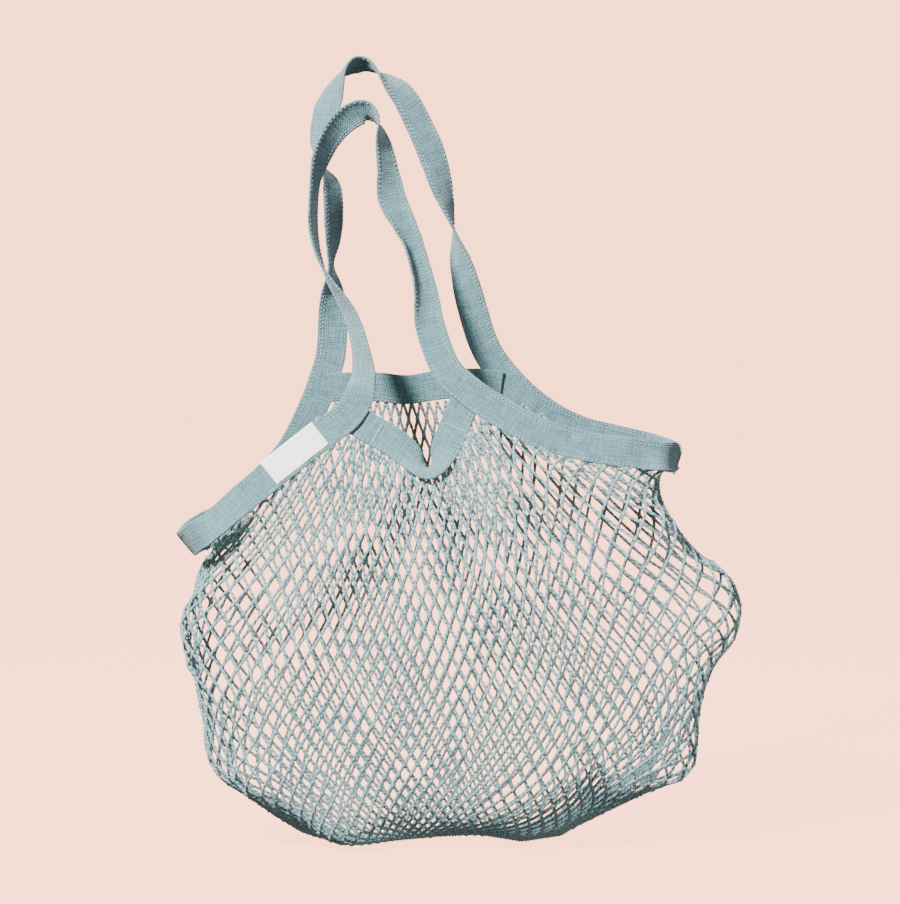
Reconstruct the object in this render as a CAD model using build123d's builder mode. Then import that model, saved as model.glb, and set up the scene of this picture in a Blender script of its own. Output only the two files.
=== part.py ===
"""A knotted-net produce bag hemmed with cotton tape, standing on its filled base, handles up.

Millimetres, +Z up, +X to the right as seen from the front, front towards -Y. The origin is on the
resting face, in the middle of the bag's width and depth.
"""

import os
from math import cos, radians, sin

from build123d import *

# Overall sizes
bag_width = 472.0
bag_height = 391.0  # from the resting face to the handle bases
bag_depth = 186.0
front_handle_rise = 243.0  # from the handle bases to the top of the loop
back_handle_rise = 281.0

# Net, tape, thread and label
net_thickness = 2.4
tape_width = 25.4
tape_thickness = 1.6
tape_lift = 0.5  # the folded tape stands this far out from the net, inside and outside
seam_width = 3.0
thread_width = 0.9
thread_height = 0.4
stitch_inset = 2.0  # from the tape's lower edge to its row of stitches
bartack_length = 16.0
bartack_width = 3.0
bartack_from_end = 20.0  # from the end of the mouth band's middle line
label_length = 55.0
label_margin = 3.4  # of the tape that shows below the label
label_thickness = 0.6
label_along = 0.65  # of the way along the fourth span of the front left tape
label_stitch_inset = 1.5
hinge_gap = 0.3  # between the outside of the mouth and the handle tape

# How far each tape leans from upright where it becomes a handle, in degrees
front_left_lean = 0.0
front_right_lean = 57.0
back_left_lean = 31.0
back_right_lean = 56.0

label_width = tape_width - label_margin
mouth_depth = 0.195  # half the depth at the handle bases, as a share of bag_depth

# The bag's filled form: height as a share of bag_height, the left and right sides as shares of
# bag_width, half the depth as a share of bag_depth, and how round the ends of the section are.
body_stations = [
    (0.000, -0.245, 0.135, 0.24, 0.96),
    (0.026, -0.285, 0.180, 0.32, 0.96),
    (0.100, -0.364, 0.280, 0.43, 0.96),
    (0.170, -0.415, 0.400, 0.48, 0.96),
    (0.320, -0.462, 0.445, 0.50, 0.96),
    (0.500, -0.500, 0.500, 0.45, 0.96),
    (0.640, -0.490, 0.456, 0.36, 0.94),
    (0.715, -0.496, 0.425, 0.31, 0.90),
    (0.780, -0.465, 0.402, 0.28, 0.80),
    (0.850, -0.410, 0.390, 0.25, 0.70),
    (0.920, -0.355, 0.330, 0.22, 0.60),
    (1.000, -0.315, 0.200, mouth_depth, 0.50),
    (1.040, -0.310, 0.190, mouth_depth - 0.005, 0.50),
]
reach = bag_width + bag_depth  # longer than any cut through the bag has to be

# Upper edges of the four rim tapes, from the side corner to the handle base, as shares of
# bag_width and bag_height.
front_left_edge = [
    (-0.520, 0.665),
    (-0.490, 0.705),
    (-0.426, 0.767),
    (-0.362, 0.836),
    (-0.288, 0.903),
    (-0.225, 0.962),
    (-0.193, 1.000),
]
front_right_edge = [
    (0.440, 0.878),
    (0.371, 0.885),
    (0.269, 0.899),
    (0.165, 0.926),
    (0.114, 0.957),
    (0.051, 1.000),
]
back_left_edge = [
    (-0.520, 0.665),
    (-0.490, 0.705),
    (-0.400, 0.800),
    (-0.340, 0.880),
    (-0.275, 1.000),
]
back_right_edge = [
    (0.440, 0.878),
    (0.371, 0.885),
    (0.250, 0.905),
    (0.216, 0.931),
    (0.148, 1.000),
]
# Middle lines of the two mouth bands, from the left handle base to the right one
front_mouth_line = [(-0.190, 0.935), (-0.066, 0.836), (0.010, 0.965)]
back_mouth_line = [(-0.240, 1.000), (-0.130, 0.988), (-0.030, 0.988), (0.090, 1.000)]

# Middle lines of the handles from the left base to the right one: distance across as a share of
# bag_width, height as a share of the handle's rise, and how far the tape is turned about its own
# length, in degrees. At 0 the outside of the tape looks forwards, and at -90 it is edge on.
front_handle_line = [
    (-0.182, 0.160, -50),
    (-0.220, 0.305, -70),
    (-0.244, 0.415, -90),
    (-0.262, 0.600, -104),
    (-0.259, 0.730, -106),
    (-0.236, 0.860, -125),
    (-0.212, 0.925, -150),
    (-0.184, 0.945, -165),
    (-0.158, 0.915, -125),
    (-0.146, 0.875, -90),
    (-0.136, 0.810, -45),
    (-0.126, 0.660, -5),
    (-0.093, 0.500, -20),
    (-0.064, 0.285, 0),
    (-0.036, 0.105, 0),
]
back_handle_line = [
    (-0.240, 0.045, -180),
    (-0.234, 0.100, -180),
    (-0.231, 0.200, -170),
    (-0.231, 0.280, -130),
    (-0.231, 0.360, -95),
    (-0.233, 0.510, -137),
    (-0.241, 0.655, -110),
    (-0.241, 0.800, -80),
    (-0.222, 0.905, -90),
    (-0.188, 0.965, -125),
    (-0.152, 0.950, -90),
    (-0.122, 0.915, -60),
    (-0.098, 0.865, -30),
    (-0.068, 0.745, -25),
    (-0.042, 0.625, -45),
    (-0.017, 0.470, -90),
    (0.002, 0.340, -130),
    (0.030, 0.190, -170),
    (0.059, 0.100, -180),
    (0.079, 0.045, -180),
]
handle_top_offset = 0.075  # how far each loop's top is from the middle, as a share of bag_depth
handle_upright = 0.045  # share of the rise below which a handle doesn't lean inwards
seam_low = 0.026  # where the side seams meet the bottom seam, as a share of bag_height
left_corner = 0.690  # heights of the side corners, where the front and back tapes meet
right_corner = 0.880


def on_front(points):
    """Points across and up the bag, from shares of its width and height to millimetres."""
    return [Vector(x * bag_width, z * bag_height) for x, z in points]


def beside(points, distance):
    """The line this far to the right of a line of points, as seen when going along it."""
    moved = []
    for i, point in enumerate(points):
        ahead = points[min(i + 1, len(points) - 1)]
        behind = points[max(i - 1, 0)]
        along = (ahead - behind).normalized()
        moved.append(point + Vector(along.Y, -along.X) * distance)
    return moved


def body(grow):
    """The bag's filled form with its walls moved outwards by grow."""
    with BuildPart() as form:
        for height, left, right, depth, roundness in body_stations:
            half_depth = depth * bag_depth + grow
            floor = max(0.0, -grow) if height == 0 else 0.0
            with BuildSketch(Plane.XY.offset(height * bag_height + floor)):
                with Locations(((left + right) / 2 * bag_width, 0)):
                    width = (right - left) * bag_width + 2 * grow
                    RectangleRounded(width, 2 * half_depth, roundness * half_depth)
        loft()
    return form.part


def skin(outside, inside):
    """The wall between two grown forms of the bag, open at the top."""
    with BuildPart() as wall:
        add(body(outside))
        add(body(inside), mode=Mode.SUBTRACT)
    return wall.part


def rim_outline(edge, lean, side):
    """A rim tape's outline. side is 1 where the edge climbs to the right, -1 to the left."""
    upper = on_front(edge)
    lower = beside(upper, side * tape_width)
    base = upper[-1] + Vector(side * tape_width / cos(radians(lean)), 0)
    return upper + [base] + lower[-2::-1]


def strip_outline(middle, width):
    """The outline of a strip of this width along a middle line."""
    return beside(middle, -width / 2) + beside(middle, width / 2)[::-1]


def cut_from(wall, outline, towards, without=()):
    """The part of a wall inside an outline drawn on the front view. towards is 1 for the front
    half of the bag and -1 for the back half."""
    with BuildPart() as piece:
        with BuildSketch(Plane.XZ.offset(towards * seam_width / 2)):
            with BuildLine():
                Polyline(outline, close=True)
            make_face()
            for taken in without:
                with BuildLine():
                    Polyline(taken, close=True)
                make_face(mode=Mode.SUBTRACT)
        extrude(amount=towards * reach)
        add(wall, mode=Mode.INTERSECT)
    return piece.part


def save(part, name):
    part.label = name
    export_step(part, f"parts/{name}.step")


os.makedirs("parts", exist_ok=True)

# Walls of the bag at each layer
net_wall = skin(0, -net_thickness)
tape_wall = skin(tape_lift, -net_thickness - tape_lift)
thread_wall = skin(tape_lift + thread_height, tape_lift)
label_wall = skin(tape_lift + label_thickness, tape_lift)
label_thread_wall = skin(tape_lift + label_thickness + thread_height, tape_lift + label_thickness)

# Tape outlines on the front view
front_left_outline = rim_outline(front_left_edge, front_left_lean, 1)
front_right_outline = rim_outline(front_right_edge, front_right_lean, -1)
back_left_outline = rim_outline(back_left_edge, back_left_lean, 1)
back_right_outline = rim_outline(back_right_edge, back_right_lean, -1)
front_mouth_middle = on_front(front_mouth_line)
back_mouth_middle = on_front(back_mouth_line)
front_mouth_outline = strip_outline(front_mouth_middle, tape_width)
back_mouth_outline = strip_outline(back_mouth_middle, tape_width)
front_outlines = (front_left_outline, front_right_outline)
back_outlines = (back_left_outline, back_right_outline)

# The net's two panels, each below its own tapes
for name, towards, left, mouth, right, tapes in (
    ("net_front", 1, front_left_edge, front_mouth_middle, front_right_edge,
     (*front_outlines, front_mouth_outline)),
    ("net_back", -1, back_left_edge, back_mouth_middle, back_right_edge,
     (*back_outlines, back_mouth_outline)),
):
    left_middle = beside(on_front(left), tape_width / 2)
    right_middle = beside(on_front(right), -tape_width / 2)
    below = [Vector(-bag_width, 0), *left_middle, *mouth, *right_middle[::-1], Vector(bag_width, 0)]
    save(cut_from(net_wall, below, towards, tapes), name)

# The folded rim tapes, each with a row of stitches near its lower edge
for name, edge, outline, side, towards in (
    ("front_left", front_left_edge, front_left_outline, 1, 1),
    ("front_right", front_right_edge, front_right_outline, -1, 1),
    ("back_left", back_left_edge, back_left_outline, 1, -1),
    ("back_right", back_right_edge, back_right_outline, -1, -1),
):
    save(cut_from(tape_wall, outline, towards), f"{name}_rim")
    row = beside(on_front(edge), side * (tape_width - stitch_inset))
    save(cut_from(thread_wall, strip_outline(row, thread_width), towards), f"{name}_topstitch")

# The mouth bands end under the rim tapes. Each has a row of stitches near its lower edge, and a
# bartack across it beside each handle base.
for name, middle, outline, towards, tapes in (
    ("front", front_mouth_middle, front_mouth_outline, 1, front_outlines),
    ("back", back_mouth_middle, back_mouth_outline, -1, back_outlines),
):
    save(cut_from(tape_wall, outline, towards, tapes), f"{name}_mouth_band")
    row = strip_outline(beside(middle, tape_width / 2 - stitch_inset), thread_width)
    save(cut_from(thread_wall, row, towards, tapes), f"{name}_mouth_topstitch")
    for side, end, inner in (("left", middle[0], middle[1]), ("right", middle[-1], middle[-2])):
        along = (inner - end).normalized()
        centre = end + along * bartack_from_end
        across = Vector(along.Y, -along.X) * bartack_length / 2
        tack = strip_outline([centre - across, centre + across], bartack_width)
        save(cut_from(thread_wall, tack, towards), f"{name}_{side}_bartack")

# The panels are sewn together down both sides and under the bag
left_edge, right_edge = -bag_width, bag_width
for name, outline in (
    ("left_side_seam", [(left_edge, seam_low), (0, seam_low), (0, left_corner), (left_edge, left_corner)]),
    ("right_side_seam", [(0, seam_low), (right_edge, seam_low), (right_edge, right_corner), (0, right_corner)]),
    ("bottom_seam", [(left_edge, 0), (right_edge, 0), (right_edge, seam_low), (left_edge, seam_low)]),
):
    with BuildPart() as seam:
        with BuildSketch(Plane.XZ):
            with BuildLine():
                Polyline([(x, z * bag_height) for x, z in outline], close=True)
            make_face()
        extrude(amount=seam_width / 2, both=True)
        add(net_wall, mode=Mode.INTERSECT)
    save(seam.part, name)

# The label lies along the front left tape, stitched all round
label_line = beside(on_front(front_left_edge), label_width / 2)[3:5]
label_centre = label_line[0] + (label_line[1] - label_line[0]) * label_along
label_reach = (label_line[1] - label_line[0]).normalized() * label_length / 2
label_ends = [label_centre - label_reach, label_centre + label_reach]
stitch_ends = [
    label_centre - label_reach * (1 - 2 * label_stitch_inset / label_length),
    label_centre + label_reach * (1 - 2 * label_stitch_inset / label_length),
]
thread_ends = [
    label_centre - label_reach * (1 - 2 * (label_stitch_inset + thread_width) / label_length),
    label_centre + label_reach * (1 - 2 * (label_stitch_inset + thread_width) / label_length),
]
save(cut_from(label_wall, strip_outline(label_ends, label_width), 1), "label")
stitched = strip_outline(stitch_ends, label_width - 2 * label_stitch_inset)
unstitched = strip_outline(thread_ends, label_width - 2 * (label_stitch_inset + thread_width))
save(cut_from(label_thread_wall, stitched, 1, (unstitched,)), "label_stitching")


def handle(line, rise, left, right, towards):
    """A loop of tape from the left base to the right one, which are each (middle, width)."""
    hinge_y = -towards * (mouth_depth * bag_depth + tape_lift + hinge_gap + tape_thickness / 2)
    top_y = -towards * handle_top_offset * bag_depth
    middle = [Vector(left[0], hinge_y, bag_height)]
    for x, height, _ in line:
        leaning = max(0.0, (height - handle_upright) / (1 - handle_upright))
        y = hinge_y + (top_y - hinge_y) * (1 - (1 - leaning) ** 2)
        middle.append(Vector(x * bag_width, y, bag_height + height * rise))
    middle.append(Vector(right[0], hinge_y, bag_height))
    with BuildPart() as loop:
        with BuildSketch(Plane.XY.offset(bag_height)):
            with Locations((left[0], hinge_y)):
                Rectangle(left[1], tape_thickness)
        for i, (_, _, turn) in enumerate(line, start=1):
            along = (middle[i + 1] - middle[i - 1]).normalized()
            flat = Vector(along.Z, 0, -along.X) * cos(radians(turn)) + Vector(0, sin(radians(turn)), 0)
            across = flat - along * flat.dot(along)
            with BuildSketch(Plane(middle[i], x_dir=across, z_dir=along)):
                Rectangle(tape_width, tape_thickness)
        with BuildSketch(Plane((0, 0, bag_height), x_dir=(-1, 0, 0), z_dir=(0, 0, -1))):
            with Locations((-right[0], hinge_y)):
                Rectangle(right[1], tape_thickness)
        loft(ruled=True)
    return loop.part


def base_of(outline, edge):
    """The middle and the width of a rim tape where its handle starts."""
    outer = outline[len(edge) - 1].X
    inner = outline[len(edge)].X
    return (outer + inner) / 2, abs(outer - inner)


# The handles
for name, line, rise, left, right, towards in (
    ("front_handle", front_handle_line, front_handle_rise,
     base_of(front_left_outline, front_left_edge), base_of(front_right_outline, front_right_edge), 1),
    ("back_handle", back_handle_line, back_handle_rise,
     base_of(back_left_outline, back_left_edge), base_of(back_right_outline, back_right_edge), -1),
):
    save(handle(line, rise, left, right, towards), name)
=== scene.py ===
"""A knotted-net produce bag hemmed with cotton tape, in metres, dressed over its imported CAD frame."""

import math
import random

import bmesh
import bpy
import numpy as np
from mathutils import Matrix, Vector
from mathutils.bvhtree import BVHTree


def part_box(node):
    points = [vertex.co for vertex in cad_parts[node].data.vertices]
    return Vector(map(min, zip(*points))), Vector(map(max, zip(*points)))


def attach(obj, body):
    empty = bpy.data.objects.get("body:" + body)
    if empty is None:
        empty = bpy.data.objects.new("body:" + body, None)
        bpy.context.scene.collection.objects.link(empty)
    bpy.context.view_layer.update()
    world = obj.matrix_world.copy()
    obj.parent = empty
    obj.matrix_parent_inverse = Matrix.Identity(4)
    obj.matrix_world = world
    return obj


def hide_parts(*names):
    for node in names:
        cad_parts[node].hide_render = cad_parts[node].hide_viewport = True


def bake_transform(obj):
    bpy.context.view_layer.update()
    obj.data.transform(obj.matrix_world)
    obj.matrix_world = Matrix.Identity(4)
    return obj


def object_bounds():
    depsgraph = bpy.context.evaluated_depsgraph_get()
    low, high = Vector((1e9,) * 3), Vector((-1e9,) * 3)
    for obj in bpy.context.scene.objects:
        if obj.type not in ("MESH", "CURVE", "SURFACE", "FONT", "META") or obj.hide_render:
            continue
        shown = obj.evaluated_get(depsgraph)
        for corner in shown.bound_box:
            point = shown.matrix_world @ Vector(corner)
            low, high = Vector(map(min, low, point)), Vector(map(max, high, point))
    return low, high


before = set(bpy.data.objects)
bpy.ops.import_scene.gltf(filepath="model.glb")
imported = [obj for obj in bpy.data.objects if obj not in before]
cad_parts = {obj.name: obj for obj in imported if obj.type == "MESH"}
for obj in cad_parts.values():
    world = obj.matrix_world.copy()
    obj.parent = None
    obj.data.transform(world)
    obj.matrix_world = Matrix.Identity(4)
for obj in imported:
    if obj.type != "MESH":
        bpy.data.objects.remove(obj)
cad_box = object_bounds()
mm = 0.001

# The knotted net: two panels of twisted cotton cord, tied mesh by mesh with a small knot at every
# crossing. It hangs from the folded tape round the mouth, and it has been stretched over what the
# bag carried, so it keeps that form.
mesh_side = 14.0 * mm  # of cord from knot to knot
meshes_across = 38  # on one panel
half_rows = 36
cord_radius = 1.3 * mm
knot_radius = 2.05 * mm
net_pieces = 4
net_inset = 1.2 * mm  # from the outside of the bag to the middle of the cord
net_underside = 0.18  # share of the rows that lie under the bag
slack_start = 22 * mm  # how far out the net stands before it is drawn tight
slack_deep = 0.6  # share of that slack at the front and back
slack_from = 0.25  # share of the way down, from the mouth, before the slack is whole
squareness = 0.8  # below 1, the loose net is squarer in plan than an ellipse
widest = 91 * mm  # from the middle of the bag to its front or back
relax_steps = 400
gentle_steps = 31  # at the start, while the net is still loose
sag_a_step = 0.1  # in mm
tightenings_a_step = 4
overpull = 1.6  # times the pull that would just take up a stretched cord
cord_clearance = 1.1  # in mm, from what the bag has carried to the middle of the cord
net_cotton = "#759193"
net_shadow = "#274448"

# The mouth, from the left corner to the right one, as (meshes tied along it, places across and up)
front_mouth = [
    (9, [(-224.5, 249), (-201, 264), (-180, 282), (-154, 309), (-133, 325), (-110, 343), (-89, 350)]),
    (20, [(-89, 350), (-63, 334), (-40, 320), (-28, 315), (-15, 321), (-4, 334), (3, 349), (15, 370)]),
    (9, [(15, 370), (36, 356), (67, 341), (92, 331), (136, 327), (170, 324), (184, 321)]),
]
back_mouth = [
    (9, [(-224.5, 249), (-208, 264), (-187, 290), (-149, 332), (-128, 357), (-107, 374)]),
    (20, [(-107, 374), (-84, 377), (-31, 374), (10, 378), (37, 380)]),
    (9, [(37, 380), (58, 372), (84, 355), (109, 343), (143, 334), (170, 328), (184, 321)]),
]
# How far the bottom seam stands off the floor, at shares of its length
seam_rise = [(0, 11), (0.1, 4), (0.25, 1.5), (0.5, 7), (0.68, 9), (0.85, 3), (1, 8)]
# What it has carried, as rounded lumps between two ends, each (across, depth, up, radius)
carried = [
    ((50, 0, 99, 90), (50, 0, 99, 90)),
    ((-104, -16, 326, 37), (-197, -14, 185, 39)),
    ((-79, -48, 264, 22), (-149, -52, 133, 30)),
    ((37, -22, 301, 30), (37, -22, 301, 30)),
    ((74, -42, 237, 29), (74, -42, 237, 29)),
    ((145, -30, 260, 37), (145, -30, 260, 37)),
    ((126, -46, 194, 29), (126, -46, 194, 29)),
    ((-39, -52, 169, 32), (-39, -52, 169, 32)),
    ((-69, -50, 120, 35), (-69, -50, 120, 35)),
    ((-163, -40, 74, 29), (-163, -40, 74, 29)),
    ((170, -30, 133, 30), (169, -25, 84, 29)),
    ((189, 0, 199, 47), (189, 0, 199, 47)),
    ((-94, -25, 47, 42), (-94, -25, 47, 42)),
    ((-210, -20, 158, 20), (-210, -20, 158, 20)),
    ((-170, 22, 209, 56), (-170, 22, 133, 54)),
    ((152, 22, 192, 56), (152, 22, 192, 56)),
    ((-111, 20, 91, 56), (-35, 10, 65, 59)),
    ((118, 20, 108, 59), (118, 20, 108, 59)),
    ((-26, 16, 209, 56), (-26, 16, 209, 56)),
    ((84, 20, 252, 42), (84, 20, 252, 42)),
    ((-136, 14, 277, 39), (-35, 10, 294, 39)),
    ((-174, 10, 86, 42), (-174, 10, 86, 42)),
]
bag_nodes = (
    "net_front", "net_back", "left_side_seam", "right_side_seam", "bottom_seam",
    "front_left_rim", "front_right_rim", "back_left_rim", "back_right_rim",
    "front_mouth_band", "back_mouth_band",
)


def surface_of(names):
    """The joined surface of these CAD nodes, to measure places on."""
    corners, faces = [], []
    for name in names:
        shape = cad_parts[name].data
        faces += [[len(corners) + i for i in face.vertices] for face in shape.polygons]
        corners += [v.co.copy() for v in shape.vertices]
    return BVHTree.FromPolygons(corners, faces)


bag_form = surface_of(bag_nodes)


def depth_at(x, z, front):
    """How far the outside of the bag is in front of (-) or behind (+) its middle at this place."""
    towards = 1.0 if front else -1.0
    hit = bag_form.ray_cast(Vector((x, -towards, z)), Vector((0, towards, 0)))[0]
    return hit.y if hit and hit.y * towards < 0 else 0.0


def side_at(z, left):
    """How far across the bag's side is at this height."""
    towards = 1.0 if left else -1.0
    hit = bag_form.ray_cast(Vector((-towards, 0, z)), Vector((towards, 0, 0)))[0]
    return hit.x if hit else 0.0


def evenly(line, shares):
    """Points at these shares of the length of a line."""
    line = np.array(line, float)
    length = np.concatenate([[0], np.cumsum(np.linalg.norm(np.diff(line, axis=0), axis=1))])
    at = np.asarray(shares) * length[-1]
    return np.stack([np.interp(at, length, line[:, k]) for k in range(line.shape[1])], 1)


def mouth_point(column, front):
    """Where the net's edge is tied at this column, in the fold of the tape."""
    at_corner = column in (0, meshes_across)
    for meshes, line in front_mouth if front else back_mouth:
        if column <= meshes:
            x, z = evenly(line, [column / meshes])[0] * mm
            y = 0.0 if at_corner else depth_at(x, z, front)
            return x, math.copysign(max(abs(y) - net_inset, 0), y), z
        column -= meshes
    raise ValueError("the net has no such column")


def first_net():
    """Every knot before the net is drawn tight: a wide tube from the mouth to the bottom seam."""
    knots = np.zeros((half_rows + 1, 2 * meshes_across, 3))
    seam_low, seam_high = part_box("bottom_seam")
    for row in range(half_rows + 1):
        down = min(1.0, row / ((1 - net_underside) * half_rows))
        for i in range(2 * meshes_across):
            column = (i + 0.5 * (row % 2)) % (2 * meshes_across)
            front = column <= meshes_across
            column = column if front else 2 * meshes_across - column
            mouth = mouth_point(column, front)
            if row == 0:
                knots[row, i] = mouth
                continue
            share = column / meshes_across
            z = max(mouth[2] * (1 - down), 4 * mm)
            left, right = side_at(z, True), side_at(z, False)
            swell = slack_start * math.sin(math.pi * down) ** 0.5
            half = (right - left) / 2 + swell
            middle = (right + left) / 2
            sideways = math.cos(math.pi * (1 - share))
            x = middle + half * math.copysign(abs(sideways) ** squareness, sideways)
            x = mouth[0] + (x - mouth[0]) * min(1.0, down / slack_from)
            deep = abs(depth_at(min(max(x, left + 1 * mm), right - 1 * mm), z, front))
            deep += slack_deep * swell
            rounding = max(1 - ((x - middle) / half) ** 2, 0) ** 0.25
            y = min(deep, widest) * max(rounding, 0.02) * (-1 if front else 1)
            y *= min(1.0, (1 - row / half_rows) / net_underside)
            if row == half_rows:
                x = seam_low.x + (seam_high.x - seam_low.x) * share
                y = 0
                z = float(np.interp(share, *zip(*seam_rise))) * mm
            knots[row, i] = x, y, z
    return knots


def drawn_tight(knots):
    """The net near rest: its cords pulled in towards a mesh side, hung from the mouth and the bottom
    seam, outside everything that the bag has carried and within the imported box. Some cords stay
    longer, most of all at the corners of the mouth."""
    rows, around = knots.shape[:2]
    number = np.arange(rows * around).reshape(rows, around)
    cords = []
    for row in range(rows - 1):
        step = 1 if row % 2 else -1
        cords += [(number[row, i], number[row + 1, i]) for i in range(around)]
        cords += [(number[row, i], number[row + 1, (i + step) % around]) for i in range(around)]
    cords = np.array(cords)
    ends = np.concatenate([cords[:, 0], cords[:, 1]])
    others = np.concatenate([cords[:, 1], cords[:, 0]])
    count = rows * around
    place = knots.reshape(-1, 3) / mm
    held = np.zeros(count, bool)
    held[number[0]] = held[number[-1]] = True
    tied = np.maximum(np.bincount(ends, minlength=count), 1)[:, None]
    low, high = (np.array(corner) / mm for corner in cad_box)
    limit = np.array([low + (0, 2, net_inset / mm), high - (0, 2, 0)])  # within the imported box
    longest = mesh_side / mm

    def gathered(at, values):
        return np.stack([np.bincount(at, values[:, k], minlength=count) for k in range(3)], 1)

    lumps = [np.array([*a, *b], float) for a, b in carried]
    for step in range(relax_steps):
        evening = 0.3 if step < gentle_steps else 0.5
        moved = place + evening * (gathered(ends, place[others]) / tied - place)
        moved[:, 2] -= sag_a_step
        for _ in range(tightenings_a_step):
            run = moved[cords[:, 1]] - moved[cords[:, 0]]
            length = np.linalg.norm(run, axis=1) + 1e-9
            over = np.maximum(length - longest, 0) / length
            pull = run * (0.5 * over)[:, None]
            pulled = gathered(ends, np.concatenate([pull, -pull]))
            tight = np.bincount(ends, np.tile(over > 0, 2), minlength=count)
            moved += overpull * pulled / np.maximum(tight, 1)[:, None]
            moved[held] = place[held]
        for ax, ay, az, ar, bx, by, bz, br in lumps:
            a, b = np.array((ax, ay, az)), np.array((bx, by, bz))
            share = np.clip((moved - a) @ (b - a) / max((b - a) @ (b - a), 1e-9), 0, 1)
            middle = a + share[:, None] * (b - a)
            away = moved - middle
            apart = np.linalg.norm(away, axis=1) + 1e-9
            radius = ar + (br - ar) * share + cord_clearance
            moved = middle + away * np.maximum(radius / apart, 1.0)[:, None]
        moved = np.clip(moved, limit[0], limit[1])
        moved[held] = place[held]
        place = moved
    return place.reshape(rows, around, 3) * mm


def smooth_through(points, steps):
    """Points along a smooth line through these ones, this many to a span."""
    points = np.array(points, float)
    before = np.concatenate([[2 * points[0] - points[1]], points[:-1]])
    after = np.concatenate([points[1:], [2 * points[-1] - points[-2]]])
    slope = (after - before) / 2
    line = []
    for a, b, m, n in zip(points[:-1], points[1:], slope[:-1], slope[1:]):
        for k in range(steps):
            t = k / steps
            line.append(
                a * (2 * t**3 - 3 * t**2 + 1) + m * (t**3 - 2 * t**2 + t)
                + b * (3 * t**2 - 2 * t**3) + n * (t**3 - t**2)
            )
    return np.array(line + [points[-1]])


def linear(hex_colour):
    """An sRGB hex colour as linear RGBA."""
    parts = [int(hex_colour[i : i + 2], 16) / 255 for i in (1, 3, 5)]
    return tuple(c / 12.92 if c < 0.04045 else ((c + 0.055) / 1.055) ** 2.4 for c in parts) + (1,)


def node(material, kind, settings=(), **links):
    """Adds a shader node. Each link names a socket, or its number as i0, and gives it a value or
    another node's output."""
    made = material.node_tree.nodes.new(kind)
    for name, value in dict(settings).items():
        setattr(made, name, value)
    for name, value in links.items():
        key = int(name[1:]) if name[0] == "i" and name[1:].isdigit() else name.replace("_", " ")
        if isinstance(value, bpy.types.NodeSocket):
            material.node_tree.links.new(value, made.inputs[key])
        else:
            made.inputs[key].default_value = value
    return made


def new_material(name):
    material = bpy.data.materials.new(name)
    material.use_nodes = True
    material.node_tree.nodes.clear()
    return material


def cotton(material, colour, height, depth, roughness=0.92):
    """Ends a material in matt cotton with a soft fuzz, raised by a height pattern."""
    bump = node(material, "ShaderNodeBump", Strength=0.9, Distance=depth, Height=height)
    shader = node(
        material, "ShaderNodeBsdfPrincipled", Base_Color=colour, Roughness=roughness,
        Sheen_Weight=0.22, Sheen_Roughness=0.5, IOR=1.5, Specular_IOR_Level=0.25, Normal=bump.outputs[0],
    )
    node(material, "ShaderNodeOutputMaterial", Surface=shader.outputs[0])


def twisted_cord(name, light, painted_shade, ply):
    """Twisted cotton cord: two plies wound round each other, so slanting ridges run along it, with
    uneven yarn. UV runs along the cord in metres and once round it."""
    material = new_material(name)
    place = node(material, "ShaderNodeTexCoord")
    apart = node(material, "ShaderNodeSeparateXYZ", Vector=place.outputs["UV"])
    along = node(material, "ShaderNodeMath", {"operation": "MULTIPLY"}, i0=apart.outputs[0], i1=1 / ply)
    around = node(
        material, "ShaderNodeMath", {"operation": "ADD"}, i0=along.outputs[0], i1=apart.outputs[1]
    )
    turns = node(
        material, "ShaderNodeMath", {"operation": "MULTIPLY"}, i0=around.outputs[0], i1=2 * math.pi
    )
    wave = node(material, "ShaderNodeMath", {"operation": "SINE"}, i0=turns.outputs[0])
    yarn = node(
        material, "ShaderNodeTexNoise", Vector=place.outputs["Object"], Scale=900, Detail=3, Roughness=0.6
    )
    ridge = node(
        material, "ShaderNodeMath", {"operation": "MULTIPLY_ADD"},
        i0=wave.outputs[0], i1=0.35, i2=yarn.outputs[0],
    )
    patch = node(material, "ShaderNodeTexNoise", Vector=place.outputs["Object"], Scale=28, Detail=2)
    shade = node(
        material, "ShaderNodeMath", {"operation": "MULTIPLY_ADD"},
        i0=patch.outputs[0], i1=0.6, i2=ridge.outputs[0],
    )
    # Painted shade: the ramp runs from the dark colour, painted shade in the grooves of the twist, to the
    # cord's own colour on the ridges; the noise adds tone that differs at random.
    ramp = node(material, "ShaderNodeValToRGB", Fac=shade.outputs[0])
    for stop, at, colour in zip(ramp.color_ramp.elements, (0.3, 0.85), (painted_shade, light)):
        stop.position = at
        stop.color = linear(colour)
    cotton(material, ramp.outputs[0], ridge.outputs[0], 0.5 * mm)
    return material


def cords_of(name, lines, radius, wobble, seed, material):
    """Cords along these lines, one mesh, thick and thin like hand-twisted yarn."""
    rng = random.Random(seed)
    curve = bpy.data.curves.new(name, "CURVE")
    curve.dimensions = "3D"
    curve.bevel_depth = radius
    curve.bevel_resolution = 2
    curve.use_fill_caps = True
    for line in lines:
        spline = curve.splines.new("POLY")
        spline.points.add(len(line) - 1)
        for point, place in zip(spline.points, line):
            point.co = (*place, 1)
            point.radius = 1 + rng.uniform(-wobble, wobble)
            point.tilt = rng.uniform(-0.3, 0.3)
    shape = bpy.data.objects.new(name + "_line", curve)
    bpy.context.scene.collection.objects.link(shape)
    bpy.context.view_layer.update()
    data = bpy.data.meshes.new_from_object(shape.evaluated_get(bpy.context.evaluated_depsgraph_get()))
    bpy.data.objects.remove(shape)
    data.name = name
    obj = bpy.data.objects.new(name, data)
    bpy.context.scene.collection.objects.link(obj)
    data.materials.clear()
    data.materials.append(material)
    for face in data.polygons:
        face.use_smooth = True
    length = float(np.linalg.norm(np.diff(lines[0], axis=0), axis=1).sum())
    for loop in data.uv_layers.active.data if data.uv_layers else ():
        loop.uv = loop.uv[0] * length, loop.uv[1]
    return obj


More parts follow.
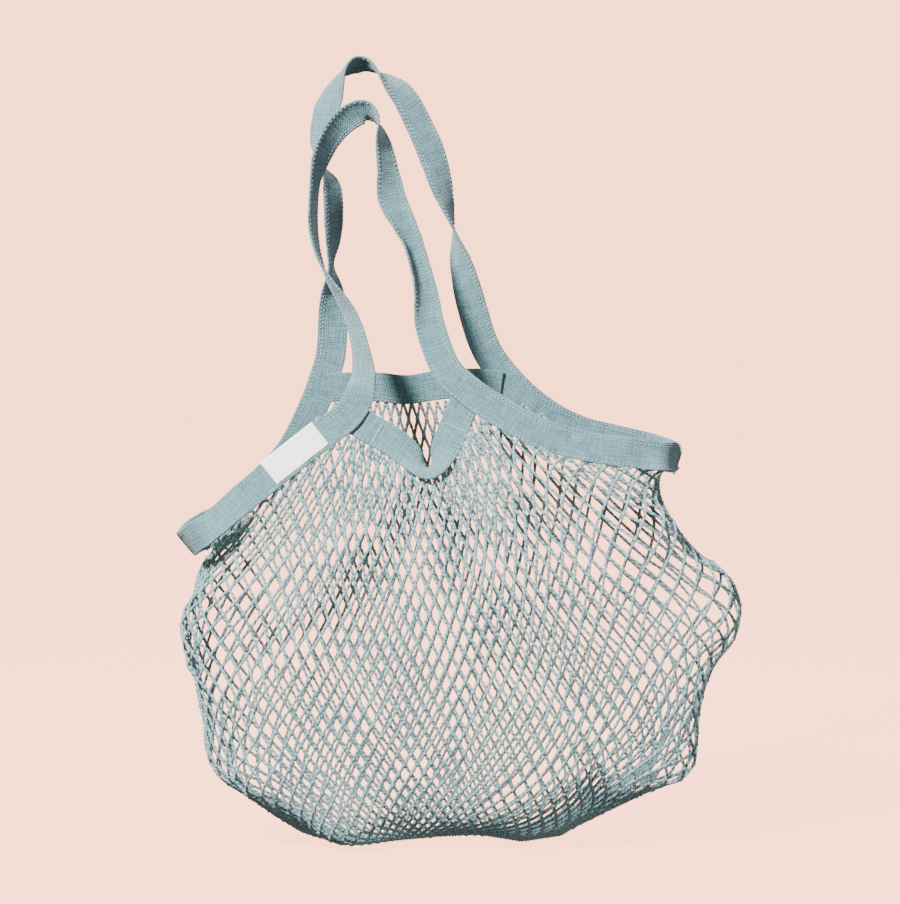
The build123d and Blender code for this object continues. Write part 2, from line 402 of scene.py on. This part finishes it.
net_cord = twisted_cord("twisted_cotton_cord", net_cotton, net_shadow, 4.0 * mm)
knots = drawn_tight(first_net())
around = 2 * meshes_across
strands = []
for i in range(around):
    for turn in (1, -1):
        at = i
        line = [knots[0, i]]
        for row in range(half_rows):
            if turn == 1 and row % 2:
                at = (at + 1) % around
            if turn == -1 and not row % 2:
                at = (at - 1) % around
            line.append(knots[row + 1, at])
        strands.append(smooth_through(line, 6))
each = len(strands) // net_pieces
for part in range(net_pieces):
    some = strands[part * each : (part + 1) * each]
    net = cords_of(f"net_cords_{part + 1}", some, cord_radius, 0.16, part, net_cord)
    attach(net, "bag")
    if part == 0:
        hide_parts("net_front", "net_back")


def new_object(name, shape, material):
    """A finished bmesh as an object of this material."""
    data = bpy.data.meshes.new(name)
    shape.to_mesh(data)
    shape.free()
    data.materials.append(material)
    data.polygons.foreach_set("use_smooth", [True] * len(data.polygons))
    obj = bpy.data.objects.new(name, data)
    bpy.context.scene.collection.objects.link(obj)
    return obj


def repeated(name, places, material, subdivisions):
    """Small round shapes in one mesh, each a unit ball put in its place by a matrix."""
    ball = bmesh.new()
    bmesh.ops.create_icosphere(ball, subdivisions=subdivisions, radius=1)
    one = bpy.data.meshes.new("one")
    ball.to_mesh(one)
    ball.free()
    many = bmesh.new()
    for place in places:
        copy = one.copy()
        copy.transform(place)
        many.from_mesh(copy)
        bpy.data.meshes.remove(copy)
    bpy.data.meshes.remove(one)
    return new_object(name, many, material)


rng = random.Random(5)
for part in range(net_pieces):
    places = []
    for row in range(1, half_rows):
        for i in range(part * around // net_pieces, (part + 1) * around // net_pieces):
            turn = Matrix.Rotation(rng.uniform(0, 6.28), 4, Vector((rng.random(), rng.random(), 1)))
            size = Matrix.Diagonal((*(knot_radius * rng.uniform(0.8, 1.2) for _ in range(3)), 1))
            places.append(Matrix.Translation(knots[row, i]) @ turn @ size)
    tied = repeated(f"net_knots_{part + 1}", places, net_cord, 2)
    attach(tied, "bag")

# The side and bottom seams: the panels' edge meshes laced together with a heavier cord, wrapped
# with an overlocking thread.
seam_radius = 1.2 * mm
overlock_radius = 0.45 * mm
overlock_pitch = 2.6 * mm
overlock_steps = 8  # in one turn of the thread
thread_cotton = "#7D9196"
thread_shadow = "#547074"
sewing_thread = twisted_cord("cotton_sewing_thread", thread_cotton, thread_shadow, 1.6 * mm)


def across_line(line):
    """Two directions across a line, at each of its points."""
    along = np.gradient(line, axis=0)
    along /= np.linalg.norm(along, axis=1)[:, None] + 1e-12
    side = np.cross(along, (0.05, 1.0, 0.02))
    side /= np.linalg.norm(side, axis=1)[:, None]
    return side, np.cross(along, side)


side_rows = range(0, half_rows + 1, 2)
for name, line in (
    ("left_side_seam", [knots[row, 0] for row in side_rows]),
    ("right_side_seam", [knots[row, meshes_across] for row in side_rows]),
    ("bottom_seam", [knots[half_rows, i] for i in range(meshes_across + 1)]),
):
    core = smooth_through(line, 6)
    lace = cords_of(f"{name}_lace", [core], seam_radius, 0.1, 7, net_cord)
    length = float(np.linalg.norm(np.diff(core, axis=0), axis=1).sum())
    fine = evenly(core, np.linspace(0, 1, int(length / overlock_pitch * overlock_steps)))
    side, up = across_line(fine)
    angle = np.arange(len(fine))[:, None] * 2 * math.pi / overlock_steps
    wrap = fine + (side * np.cos(angle) + up * np.sin(angle)) * seam_radius * 1.25
    thread = cords_of(f"{name}_overlock", [wrap], overlock_radius, 0.05, 8, sewing_thread)
    for piece in (lace, thread):
        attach(piece, "bag")
    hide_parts(name)

# The two tapes: one-inch plain-woven cotton, folded over the net's edge and topstitched. Each runs
# in one length from the left corner along the mouth, up and over as a handle, and down to the right
# corner. In the handles it is limp, so it twists and cups.
tape_width = 25.4 * mm
rim_thickness = 2.8 * mm
handle_thickness = 1.7 * mm
tape_step = 2.5 * mm
tape_cotton = "#43656B"
tape_highlight = "#64848A"
tape_shadow = "#223E42"
hinge_height = 391 * mm
front_hinge_depth = -37.87 * mm
back_hinge_depth = 37.87 * mm
front_top_depth = -13.95 * mm
back_top_depth = 13.95 * mm
corner_run = 25 * mm  # the outer edge comes in over this length at the bag's two corners
corner_round = 9 * mm
# Each tape's middle line: on the rims (across, up), and in the handles (across, up, turn about its
# own length, cupping), in degrees. Turned by 0 its outside faces the front, by -90 it is edge on.
front_tape = [
    [
        (-233.5, 257), (-230, 260), (-222, 267), (-208, 277), (-177, 304), (-142, 332), (-111, 356),
        (-96.5, 367), (-86.5, 382),
    ],
    [
        (-82, 400, -38, 0), (-82.5, 410, -45, 0), (-85, 426, -55, 0), (-93, 452, -62, 0),
        (-109, 478, -78, 0), (-116, 491, -90, 0), (-122, 510, -100, 0), (-124.5, 530, -105, 0),
        (-123, 560, -106, 0), (-118, 582, -124, 0), (-109, 602, -136, 20), (-99, 614, -146, 30),
        (-89, 621, -150, 40), (-80, 623, -138, 30), (-73.5, 619, -114, 10), (-69, 611, -90, 0),
        (-66.5, 601, -68, 0), (-64, 588, -56, 0), (-61.5, 574, -48, 0), (-58.5, 550, -22, -20),
        (-50, 528, -30, -90), (-43.5, 511, -38, -130), (-37, 489, -38, -130), (-31, 467, -30, -90),
        (-27, 446, -10, -40), (-20, 424, 0, 0), (-11, 405, 0, 0),
    ],
    [(6, 389), (28, 374), (49, 362), (73, 351), (110, 341.5), (150, 336.5), (172, 333), (184, 331)],
]
back_tape = [
    [(-233.5, 257), (-230, 260), (-222, 267), (-206, 275), (-174, 302), (-146, 332), (-126, 371)],
    [
        (-114, 404, -180, 0), (-110.5, 419, -180, 0), (-109, 447, -170, 0), (-109.5, 470, -135, 0),
        (-110.5, 491, -97, 0), (-108.5, 512, -116, 0), (-108, 538, -128, 0), (-110, 560, -122, 0),
        (-118, 577, -86, 0), (-119, 597, -44, 10), (-115.5, 619, -34, 20), (-111, 634, -40, 50),
        (-107, 647, -62, 80), (-99, 658, -100, 80), (-89, 663.5, -124, 50), (-79, 662, -115, 20),
        (-70, 655, -90, 0), (-58, 645, -55, 0), (-47, 633, -35, 0), (-34, 608, -28, 0),
        (-25, 587, -25, 0), (-16, 558, -45, 0), (-6, 523, -90, 0), (0, 495, -135, 0),
        (9, 458, -172, 0), (19, 426, -180, 0), (32, 404, -180, 0),
    ],
    [(55, 379), (81, 360), (105, 349), (128, 343), (158, 336), (178, 330), (184, 328)],
]


def tape_line(parts, front):
    """A tape's middle line, width direction, cupping and thickness at each place of its list."""
    hinge, top = (front_hinge_depth, front_top_depth) if front else (back_hinge_depth, back_top_depth)
    highest = max(place[1] for place in parts[1]) * mm
    rows = []
    for part, places in enumerate(parts):
        for place in places:
            x, z = place[0] * mm, place[1] * mm
            if part == 1:
                lean = max(0.0, (z - hinge_height) / (highest - hinge_height))
                y = hinge + (top - hinge) * (1 - (1 - lean) ** 2)
                rows.append([x, y, z, place[2], place[3], handle_thickness])
            else:
                corner = place in (parts[0][0], parts[2][-1])
                rows.append([x, 0 if corner else depth_at(x, z, front), z, None, 0, rim_thickness])
    line = np.array([row[:3] for row in rows])
    ahead = np.gradient(line, axis=0)
    ahead /= np.linalg.norm(ahead, axis=1)[:, None]
    wide = []
    for (x, y, z, turn, _, _), along in zip(rows, ahead):
        flat = np.array((along[2], 0, -along[0])) / math.hypot(along[0], along[2])
        if turn is None:
            half = tape_width / 2
            low = depth_at(x + flat[0] * half, z + flat[2] * half, front)
            high = depth_at(x - flat[0] * half, z - flat[2] * half, front)
            slope = (low - high) / tape_width if low and high else 0.0
            across = (flat + (0, slope, 0)) * (1 if front else -1)
        else:
            across = flat * math.cos(math.radians(turn)) + np.array((0, math.sin(math.radians(turn)), 0))
        wide.append(across)
    return np.hstack([line, wide, [[math.radians(row[4]), row[5]] for row in rows]])


def laid_out(places, step):
    """A smooth run through these places, evenly spaced: middle, along, across, inwards, cupping
    and thickness at each step, and the whole length."""
    steps = 24
    run = smooth_through(places, steps)
    length = np.linalg.norm(np.diff(run[:, :3], axis=0), axis=1).sum()
    count = int(length / step) + 1
    travelled = np.concatenate([[0], np.cumsum(np.linalg.norm(np.diff(run[:, :3], axis=0), axis=1))])
    at = np.linspace(0, length, count)
    run = np.stack([np.interp(at, travelled, run[:, k]) for k in range(run.shape[1])], 1)
    along = np.gradient(run[:, :3], axis=0)
    along /= np.linalg.norm(along, axis=1)[:, None]
    across = run[:, 3:6] - along * (run[:, 3:6] * along).sum(1)[:, None]
    across /= np.linalg.norm(across, axis=1)[:, None]
    return {
        "middle": run[:, :3], "along": along, "across": across, "inwards": np.cross(along, across),
        "cup": run[:, 6], "thickness": run[:, 7], "length": float(length), "count": count,
    }


def on_tape(tape, distance, across, outwards):
    """The place and the along, across and outwards directions at a distance along a tape."""
    at = min(max(distance / tape["length"], 0), 1) * (tape["count"] - 1)
    i = min(int(at), tape["count"] - 2)
    share = at - i
    middle, along, wide, inwards = (
        tape[key][i] * (1 - share) + tape[key][i + 1] * share
        for key in ("middle", "along", "across", "inwards")
    )
    curve = (tape["cup"][i] * (1 - share) + tape["cup"][i + 1] * share) / tape_width
    turn = curve * across
    sideways, deep = across, 0.0
    if abs(curve) > 1e-3:
        sideways = math.sin(turn) / curve
        deep = (1 - math.cos(turn)) / curve
    out = math.sin(turn) * wide - math.cos(turn) * inwards
    place = middle + wide * sideways + inwards * deep + out * outwards
    wide = math.cos(turn) * wide + math.sin(turn) * inwards
    return Vector(place), Vector(along), Vector(wide), Vector(out)


def woven(name, light, middle, painted_shade, thread):
    """Plain-woven cotton tape: warp and weft pass over and under each other, with slubs where the
    yarn is thicker. The threads are drawn coarser than real ones so that they show. UV runs along
    and across the tape in metres."""
    material = new_material(name)
    place = node(material, "ShaderNodeTexCoord")
    wander = node(material, "ShaderNodeTexNoise", Vector=place.outputs["UV"], Scale=120, Detail=2)
    shift = node(
        material, "ShaderNodeVectorMath", {"operation": "SCALE"},
        i0=wander.outputs["Color"], Scale=0.5 * mm,
    )
    moved = node(
        material, "ShaderNodeVectorMath", {"operation": "ADD"}, i0=place.outputs["UV"], i1=shift.outputs[0]
    )
    size = node(
        material, "ShaderNodeVectorMath", {"operation": "SCALE"}, i0=moved.outputs[0], Scale=1 / thread
    )
    lines = node(material, "ShaderNodeSeparateXYZ", Vector=size.outputs[0])
    heights = []
    for axis in (0, 1):
        turns = node(
            material, "ShaderNodeMath", {"operation": "MULTIPLY"}, i0=lines.outputs[axis], i1=math.pi
        )
        wave = node(material, "ShaderNodeMath", {"operation": "SINE"}, i0=turns.outputs[0])
        heights.append(node(material, "ShaderNodeMath", {"operation": "ABSOLUTE"}, i0=wave.outputs[0]))
    over = node(material, "ShaderNodeTexChecker", Vector=size.outputs[0], Scale=1)
    weave = node(
        material, "ShaderNodeMix",
        Factor=over.outputs["Fac"], A=heights[0].outputs[0], B=heights[1].outputs[0],
    )
    slubs = []
    for slub_size in ((60, 900, 1), (900, 60, 1)):
        stretch = node(material, "ShaderNodeMapping", Vector=place.outputs["UV"], Scale=slub_size)
        slubs.append(node(material, "ShaderNodeTexNoise", Vector=stretch.outputs[0], Scale=1, Detail=3))
    slub = node(
        material, "ShaderNodeMath", {"operation": "ADD"}, i0=slubs[0].outputs[0], i1=slubs[1].outputs[0]
    )
    raised = node(
        material, "ShaderNodeMath", {"operation": "MULTIPLY_ADD"},
        i0=slub.outputs[0], i1=2.6, i2=weave.outputs[0],
    )
    tone = node(material, "ShaderNodeMath", {"operation": "MULTIPLY"}, i0=raised.outputs[0], i1=0.245)
    # Painted shade and highlight: the colour follows the height of the weave and the slubs, dark in the
    # hollows and light on the raised threads; along the slubs the tone also differs at random.
    ramp = node(material, "ShaderNodeValToRGB", Fac=tone.outputs[0])
    for stop, at, colour in zip(ramp.color_ramp.elements, (0.42, 0.95), (painted_shade, light)):
        stop.position = at
        stop.color = linear(colour)
    ramp.color_ramp.elements.new(0.68).color = linear(middle)
    cotton(material, ramp.outputs[0], raised.outputs[0], 0.4 * mm)
    return material


cloth_rows = 14  # across the tape
ripple_height = 0.25 * mm


def thickness_at(tape, distance):
    """The tape's thickness at a distance along it."""
    at = distance / tape["length"] * (tape["count"] - 1)
    return float(np.interp(at, range(tape["count"]), tape["thickness"]))


def ribbon(name, tape, thickness, material, rounded=0):
    """A length of tape as cloth with soft edges. thickness is one value, or None for the tape's
    own. The edge on the rounded side (-1 or 1) comes in at both ends."""
    length = tape["length"]
    grid = bmesh.new()
    grid.loops.layers.uv.new("UVMap")
    bmesh.ops.create_grid(
        grid, x_segments=int(length / tape_step), y_segments=cloth_rows, size=1, calc_uvs=True
    )
    uv = grid.loops.layers.uv.active
    for face in grid.faces:
        for loop in face.loops:
            loop[uv].uv = loop[uv].uv[0] * length, loop[uv].uv[1] * tape_width
    shares = []
    for v in grid.verts:
        distance = length * (v.co.x + 1) / 2
        reach = max(0.0, 1 - min(distance, length - distance) / corner_run)
        pull = corner_round * (1 - math.sqrt(1 - min(reach, 1.0) ** 2))
        across = tape_width * v.co.y / 2 - rounded * pull * (1 + rounded * v.co.y) / 2
        ripple = ripple_height * math.sin(distance * 310 + across * 90) * math.sin(distance * 97 + 1.3)
        if thickness is None:
            shares.append(thickness_at(tape, distance))
        v.co = on_tape(tape, distance, across, ripple)[0]
    obj = new_object(name, grid, material)
    solid = obj.modifiers.new("folded", "SOLIDIFY")
    solid.thickness = thickness or rim_thickness
    solid.offset = 0
    if shares:
        group = obj.vertex_groups.new(name="thickness")
        for i, value in enumerate(shares):
            group.add([i], value / rim_thickness, "REPLACE")
        solid.vertex_group = group.name
    edge = obj.modifiers.new("edge", "BEVEL")
    edge.width = 0.35 * (thickness or 1.6 * mm)
    edge.segments = 2
    edge.limit_method = "ANGLE"
    edge.angle_limit = 1.0
    bpy.context.view_layer.update()
    data = bpy.data.meshes.new_from_object(obj.evaluated_get(bpy.context.evaluated_depsgraph_get()))
    old = obj.data
    obj.modifiers.clear()
    obj.vertex_groups.clear()
    obj.data = data
    bpy.data.meshes.remove(old)
    data.name = name
    return obj


stitch_length = 2.7 * mm
stitch_gap = 0.9 * mm
stitch_radius = 0.42 * mm
stitch_inset = 2.0 * mm  # from the edge of the tape
stitch_lift = 0.15 * mm
second_row = 0.8  # as far across the tape as the first row


def stitch(place, along, across, out, length=stitch_length, radius=stitch_radius):
    """The matrix of one stitch lying along a direction."""
    turned = Matrix((along.normalized(), across.normalized(), out.normalized())).transposed().to_4x4()
    return Matrix.Translation(place) @ turned @ Matrix.Diagonal((length / 2, radius * 1.2, radius, 1))


def stitch_row(tape, across, from_end):
    """Stitches along a tape at one distance across it, on both faces."""
    made = []
    for side in (1, -1):
        distance = from_end
        while distance < tape["length"] - from_end:
            lift = side * (thickness_at(tape, distance) / 2 + stitch_lift)
            made.append(stitch(*on_tape(tape, distance, across, lift)))
            distance += stitch_length + stitch_gap
    return made


woven_tape = woven("woven_cotton_tape", tape_highlight, tape_cotton, tape_shadow, 1.5 * mm)
tapes = {}
for side, parts, nodes, handle, threads in (
    ("front", front_tape, ("front_left_rim", "front_handle", "front_right_rim"), "front_handle",
     ("front_left_topstitch", "front_right_topstitch")),
    ("back", back_tape, ("back_left_rim", "back_handle", "back_right_rim"), "back_handle",
     ("back_left_topstitch", "back_right_topstitch")),
):
    front = side == "front"
    tape = laid_out(tape_line(parts, front), tape_step)
    tapes[side] = tape
    half = tape_width / 2
    cloth = ribbon(f"{side}_tape", tape, None, woven_tape, -1 if front else 1)
    edge = half - stitch_inset
    inner, outer = (edge, -edge) if front else (-edge, edge)
    rows = stitch_row(tape, inner, 3 * mm)
    rows += stitch_row(tape, outer, 14 * mm)
    rows += stitch_row(tape, outer * second_row, 8 * mm)
    thread = repeated(f"{side}_tape_topstitch", rows, sewing_thread, 1)
    for piece in (cloth, thread):
        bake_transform(piece)
    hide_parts(*nodes)
    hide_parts(*threads)
    flat = (tape_width, tape["length"])

# The mouth bands: two short lengths of the same tape, folded over the net between the handle
# bases. The front one dips to a V, where its upper edge tucks in on itself; the back one is level.
band_lines = {
    "front": [
        (-92, 367, -8, 0), (-80, 359, -10, 0), (-59, 347, -14, 0), (-43, 335.5, -30, 40),
        (-35, 327, -62, 70), (-28, 322.5, -74, 80), (-20, 328, -58, 60), (-11.5, 345, -14, 20),
        (-1, 369, -6, 0), (4, 382, -4, 0),
    ],
    "back": [
        (-113, 387, -172, 0), (-98, 388, -172, 0), (-72, 388, -172, 0), (-47, 385.5, -172, 0),
        (-22, 389, -172, 0), (0, 391, -172, 0), (18, 391, -172, 0), (35, 389, -172, 0),
    ],
}
band_inset = 3.0 * mm  # the bands lie inside the long tapes at both ends
band_thickness = 2.4 * mm
tack_rows = 18
tack_length = 16 * mm
tack_width = 3 * mm
tack_from_end = 26 * mm

for side, places in band_lines.items():
    front = side == "front"
    rows = []
    for x, z, turn, cup in places:
        y = depth_at(x * mm, z * mm, front) or (front_hinge_depth if front else back_hinge_depth)
        y = math.copysign(max(abs(y) - band_inset, 0), y)
        rows.append([x * mm, y, z * mm, turn, cup])
    line = np.array([row[:3] for row in rows])
    ahead = np.gradient(line, axis=0)
    wide = []
    for row, along in zip(rows, ahead):
        flat = np.array((along[2], 0, -along[0])) / math.hypot(along[0], along[2])
        turn = math.radians(row[3])
        wide.append(flat * math.cos(turn) + np.array((0, math.sin(turn), 0)))
    full = np.hstack([line, wide, [[math.radians(row[4]), band_thickness] for row in rows]])
    tape = laid_out(full, tape_step)
    tapes[side + "_band"] = tape
    half = tape_width / 2
    cloth = ribbon(f"{side}_mouth_tape", tape, band_thickness, woven_tape)
    edge = (half - stitch_inset) * (1 if front else -1)
    rows = stitch_row(tape, edge, 4 * mm) + stitch_row(tape, edge * second_row, 4 * mm)
    thread = repeated(f"{side}_mouth_stitches", rows, sewing_thread, 1)
    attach(cloth, "bag")
    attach(thread, "bag")
    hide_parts(f"{side}_mouth_band")
    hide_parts(f"{side}_mouth_topstitch")
    flat = (tape_width, tape["length"])

    # A bartack across the band beside each handle base, on both faces
    for end, distance in (("left", tack_from_end), ("right", tape["length"] - tack_from_end)):
        tacks = []
        for face in (1, -1):
            for k in range(tack_rows):
                across = (k / (tack_rows - 1) - 0.5) * tack_length
                slant = (0.35 if k % 2 else -0.35) * mm
                lift = face * (band_thickness / 2 + 0.1 * mm)
                tacks.append(stitch(*on_tape(tape, distance + slant, across, lift), tack_width))
        tack = repeated(f"{side}_{end}_tack", tacks, sewing_thread, 1)
        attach(tack, "bag")
        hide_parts(f"{side}_{end}_bartack")

# The label: a narrow white woven cotton label, folded over the upper edge of the front left tape
# and sewn down all round. It has no printing.
label_length = 55 * mm
label_back = 7 * mm  # of the label behind the tape
label_margin = 3.2 * mm  # of the tape that shows below it
label_middle = 157 * mm  # along the front tape, from the left corner
label_thickness = 0.5 * mm
label_white = "#FBFAF8"
label_shade = "#E2E1DE"
# Painted shade: the darker colour of the white thread, for the grooves of its twist
label_thread_shade = "#E9E8E6"

tape = tapes["front"]
half = tape_width / 2
gap = rim_thickness / 2 + 0.45 * mm
fold_inside = 0.6 * mm  # the fold's middle is this far inside the tape's edge
turn_length = math.pi * gap
down = tape_width - label_margin
whole = down + turn_length + label_back


def on_label(distance, along_cloth, lift=0.0):
    """A place on the label: along_cloth runs from its lower edge, over the fold, to the back."""
    if along_cloth <= down:
        return on_tape(tape, distance, half - label_margin - along_cloth, gap + lift)
    if along_cloth <= down + turn_length:
        turned = (along_cloth - down) / gap
        middle, along, wide, out = on_tape(tape, distance, -half + fold_inside, 0)
        away = out * math.cos(turned) - wide * math.sin(turned)
        return middle + away * (gap + lift), along, wide, away
    across = -half + fold_inside + along_cloth - down - turn_length
    place, along, wide, out = on_tape(tape, distance, across, -gap - lift)
    return place, along, wide, -out


label_cloth = woven("woven_cotton_label", label_white, label_white, label_shade, 0.9 * mm)
label_sewing = twisted_cord("white_cotton_thread", label_white, label_thread_shade, 1.6 * mm)
grid = bmesh.new()
grid.loops.layers.uv.new("UVMap")
bmesh.ops.create_grid(grid, x_segments=22, y_segments=34, size=1, calc_uvs=True)
uv = grid.loops.layers.uv.active
for face in grid.faces:
    for loop in face.loops:
        loop[uv].uv = loop[uv].uv[0] * label_length, loop[uv].uv[1] * whole
for v in grid.verts:
    distance = label_middle + v.co.x * label_length / 2
    v.co = on_label(distance, (v.co.y + 1) / 2 * whole)[0]
label = new_object("sewn_label", grid, label_cloth)
solid = label.modifiers.new("cloth", "SOLIDIFY")
solid.thickness = label_thickness
solid.offset = 0
threads = []
inset = 1.6 * mm
label_stitch = 2.0 * mm
label_pitch = 2.7 * mm
fine_thread = 0.26 * mm
lift = label_thickness / 2
distance = -label_length / 2 + inset
while distance <= label_length / 2 - inset:
    for low in (inset, down - 0.6 * mm):
        threads.append(stitch(*on_label(label_middle + distance, low, lift), label_stitch, fine_thread))
    distance += label_pitch
for side in (-1, 1):
    low = inset + 1 * mm
    while low < down - 1 * mm:
        end = label_middle + side * (label_length / 2 - inset)
        place, along, wide, out = on_label(end, low, lift)
        threads.append(stitch(place, wide, along, out, label_stitch, fine_thread))
        low += label_pitch
sewn = repeated("label_stitches", threads, label_sewing, 1)
for piece, cad, finish in ((label, "label", "label"), (sewn, "label_stitching", "thread")):
    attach(piece, "bag")
    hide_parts(cad)

# The floor and the backdrop: one round sweep of pale seamless paper, bright and even on its own so
# that it throws no colour on the bag.
paper = new_material("seamless_paper")
paper.cycles.emission_sampling = "NONE"
place = node(paper, "ShaderNodeTexCoord")
grain = node(paper, "ShaderNodeTexNoise", Vector=place.outputs["Object"], Scale=60, Detail=2)
tone = node(paper, "ShaderNodeValToRGB", Fac=grain.outputs[0])
for stop, colour in zip(tone.color_ramp.elements, ("#62554B", "#67584F")):
    stop.color = linear(colour)
matt = node(
    paper, "ShaderNodeBsdfPrincipled", Base_Color=tone.outputs[0], Roughness=0.95, Specular_IOR_Level=0.1,
    Emission_Color=linear("#FFB090"), Emission_Strength=4.9,
)
node(paper, "ShaderNodeOutputMaterial", Surface=matt.outputs[0])
sweep_radius = 7.0
sweep_bend = 2.0
sweep_height = 6.0
sweep = bmesh.new()
profile = [(0.0, 0.0), (sweep_radius - sweep_bend, 0.0)]
profile += [
    (sweep_radius - sweep_bend + sweep_bend * math.sin(a), sweep_bend * (1 - math.cos(a)))
    for a in np.linspace(0, math.pi / 2, 12)[1:]
]
profile.append((sweep_radius, sweep_height))
corners = [sweep.verts.new((x, 0, z)) for x, z in profile]
edges = [sweep.edges.new(pair) for pair in zip(corners, corners[1:])]
bmesh.ops.spin(sweep, geom=corners + edges, axis=(0, 0, 1), angle=2 * math.pi, steps=64, use_merge=True)
bmesh.ops.remove_doubles(sweep, verts=sweep.verts, dist=1e-5)
bmesh.ops.recalc_face_normals(sweep, faces=sweep.faces)
floor = new_object("floor", sweep, paper)
floor.visible_diffuse = floor.visible_glossy = floor.visible_shadow = False

look_at = Vector((-9.3, 0, 334.6)) * mm
for name, place, size, watts in (
    ("key", (-1.5, -2.35, 2.3), 0.6, 620),
    ("fill", (2.2, -2.6, 1.0), 2.0, 32),
    ("top", (0.4, 1.2, 2.4), 1.4, 80),
):
    lamp = bpy.data.lights.new(name, "AREA")
    lamp.shape = "DISK"
    lamp.size = size
    lamp.energy = watts
    light = bpy.data.objects.new(name, lamp)
    bpy.context.scene.collection.objects.link(light)
    light.location = place
    light.rotation_euler = (look_at - Vector(place)).to_track_quat("-Z", "Y").to_euler()
studio = bpy.data.worlds.new("studio")
studio.use_nodes = True
studio.node_tree.nodes["Background"].inputs["Color"].default_value = linear("#FBF3EF")
studio.node_tree.nodes["Background"].inputs["Strength"].default_value = 0.36
bpy.context.scene.world = studio

# The camera: level with the bag and a little above it, far off with a long lens.
elevation = math.radians(4)
distance = 4.0
view_width = 0.7657  # at the bag
camera_data = bpy.data.cameras.new("camera")
camera_data.sensor_width = 36
camera_data.lens = 36 * distance / view_width
camera = bpy.data.objects.new("camera", camera_data)
bpy.context.scene.collection.objects.link(camera)
camera.location = look_at + Vector((0, -math.cos(elevation), math.sin(elevation))) * distance
camera.rotation_euler = (look_at - camera.location).to_track_quat("-Z", "Y").to_euler()
bpy.context.scene.camera = camera
